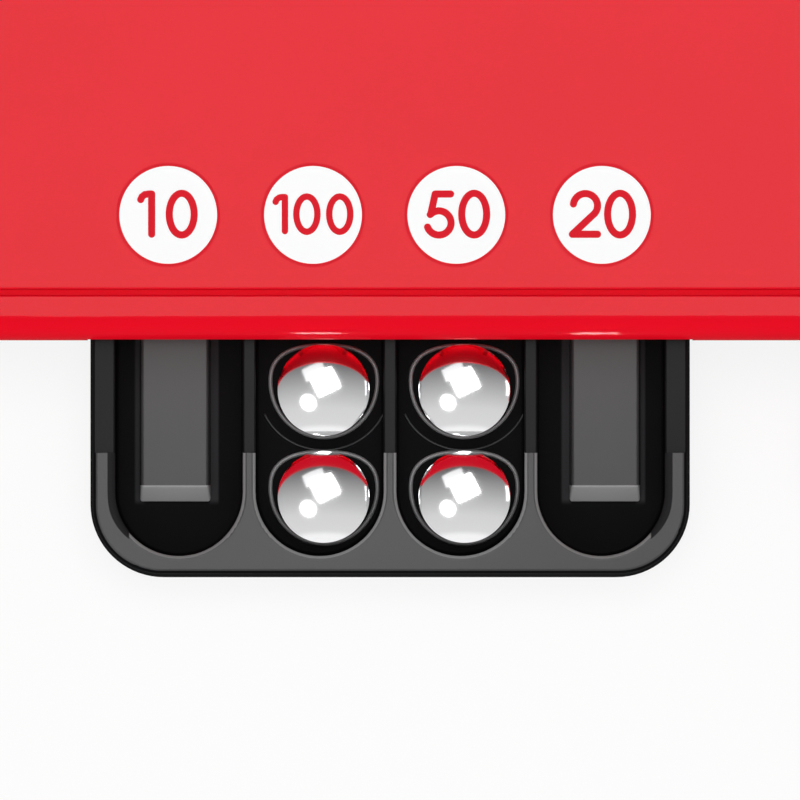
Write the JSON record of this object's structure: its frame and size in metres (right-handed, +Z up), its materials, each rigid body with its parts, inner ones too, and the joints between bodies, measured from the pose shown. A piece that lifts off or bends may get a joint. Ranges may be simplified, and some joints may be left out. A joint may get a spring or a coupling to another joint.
{
  "type": "tabletop pinball game",
  "caption": "Small sloping tabletop pinball game with side-button flippers, a spring plunger, bumpers, and a black score tray with ball lanes in front of a rolled red lip.",
  "frame": {"origin": "middle of the footprint, on the table under the feet", "axes": "+Z up, +Y from the player up the playfield, +X to the player's right"},
  "size_m": [0.15, 0.3052, 0.0569],
  "materials": {
    "red_plastic": "gloss moulded",
    "black_plastic": "satin moulded",
    "white_plastic": "gloss moulded",
    "playfield_print": "printed board",
    "black_rubber": "matte",
    "white_rubber": "matte",
    "bright_steel": "bright",
    "ball_steel": "polished"
  },
  "bodies": {
    "cabinet": {"base_shell": "black_plastic", "rubber_feet": "black_rubber", "case_screws": "bright_steel", "playfield": "playfield_print", "front_rail": "red_plastic", "left_rail": "red_plastic", "right_rail": "red_plastic", "back_rail": "red_plastic", "apron": "red_plastic", "apron_screws": "bright_steel", "score_tray": "black_plastic", "tray_screws": "bright_steel", "seat_rings": "black_plastic", "lane_dividers": "red_plastic", "left_drain_guide": "red_plastic", "right_drain_guide": "red_plastic", "shooter_divider": "white_plastic", "arch_strip": "bright_steel", "left_corner": "red_plastic", "right_corner": "red_plastic", "lane_guides": "white_plastic", "playfield_pins": "bright_steel", "bumper_stems": "white_plastic", "bumper_rings": "white_rubber", "bumper_caps": "red_plastic", "sling_posts": "white_plastic", "left_sling_band": "white_rubber", "right_sling_band": "white_rubber", "flipper_bushes": "white_plastic", "left_button_spring": "bright_steel", "right_button_spring": "bright_steel", "plunger_spring": "bright_steel", "plunger_bush": "black_plastic", "plunger_nut": "black_plastic", "gate_bracket": "bright_steel", "gate_pin": "bright_steel"},
    "left_flipper": {"left_flipper_bat": "white_plastic", "left_flipper_rubber": "black_rubber", "left_flipper_shaft": "bright_steel", "left_crank": "black_plastic"},
    "right_flipper": {"right_flipper_bat": "white_plastic", "right_flipper_rubber": "black_rubber", "right_flipper_shaft": "bright_steel", "right_crank": "black_plastic"},
    "left_button": {"left_button": "red_plastic", "left_push_rod": "black_plastic"},
    "right_button": {"right_button": "red_plastic", "right_push_rod": "black_plastic"},
    "plunger": {"plunger_rod": "bright_steel", "plunger_knob": "red_plastic", "plunger_tip": "black_rubber", "plunger_collar": "bright_steel"},
    "gate": {"gate_flap": "bright_steel"},
    "ball_left_front": {"ball_left_front": "ball_steel"},
    "ball_left_rear": {"ball_left_rear": "ball_steel"},
    "ball_right_front": {"ball_right_front": "ball_steel"},
    "ball_right_rear": {"ball_right_rear": "ball_steel"}
  },
  "joints": [
    {"name": "left_button_press", "type": "slide", "parent": "cabinet", "child": "left_button", "axis": [1, 0, 0], "range_m": [0, 0.005], "stiffness_N_per_m": 150, "springref_m": -0.002, "deforming": ["left_button_spring"]},
    {"name": "right_button_press", "type": "slide", "parent": "cabinet", "child": "right_button", "axis": [-1, 0, 0], "range_m": [0, 0.005], "stiffness_N_per_m": 150, "springref_m": -0.002, "deforming": ["right_button_spring"]},
    {"name": "left_flipper_swing", "type": "hinge", "parent": "cabinet", "child": "left_flipper", "pos_m": [-0.04272, -0.03848, 0.02019], "axis": [0, -0.1132, 0.9936], "range_deg": [0, 50]},
    {"name": "right_flipper_swing", "type": "hinge", "parent": "cabinet", "child": "right_flipper", "pos_m": [0.02632, -0.03848, 0.02019], "axis": [0, 0.1132, -0.9936], "range_deg": [0, 50]},
    {"name": "plunger_pull", "type": "slide", "parent": "cabinet", "child": "plunger", "axis": [0, -0.9936, -0.1132], "range_m": [0, 0.02], "stiffness_N_per_m": 120, "springref_m": -0.004, "deforming": ["plunger_spring"]},
    {"name": "gate_swing", "type": "hinge", "parent": "cabinet", "child": "gate", "pos_m": [0.0558, 0.06819, 0.04614], "axis": [1, 0, 0], "range_deg": [0, 80]},
    {"name": "ball_left_front_lift", "type": "slide", "parent": "cabinet", "child": "ball_left_front", "axis": [0, -0.1132, 0.9936], "range_m": [0, 0.06]},
    {"name": "ball_left_rear_lift", "type": "slide", "parent": "cabinet", "child": "ball_left_rear", "axis": [0, -0.1132, 0.9936], "range_m": [0, 0.06]},
    {"name": "ball_right_front_lift", "type": "slide", "parent": "cabinet", "child": "ball_right_front", "axis": [0, -0.1132, 0.9936], "range_m": [0, 0.06]},
    {"name": "ball_right_rear_lift", "type": "slide", "parent": "cabinet", "child": "ball_right_rear", "axis": [0, -0.1132, 0.9936], "range_m": [0, 0.06]}
  ],
  "couplings": [
    {"joint": "left_flipper_swing", "follows": "left_button_press", "rad_per_m": 174.53},
    {"joint": "right_flipper_swing", "follows": "right_button_press", "rad_per_m": 174.53}
  ]
}
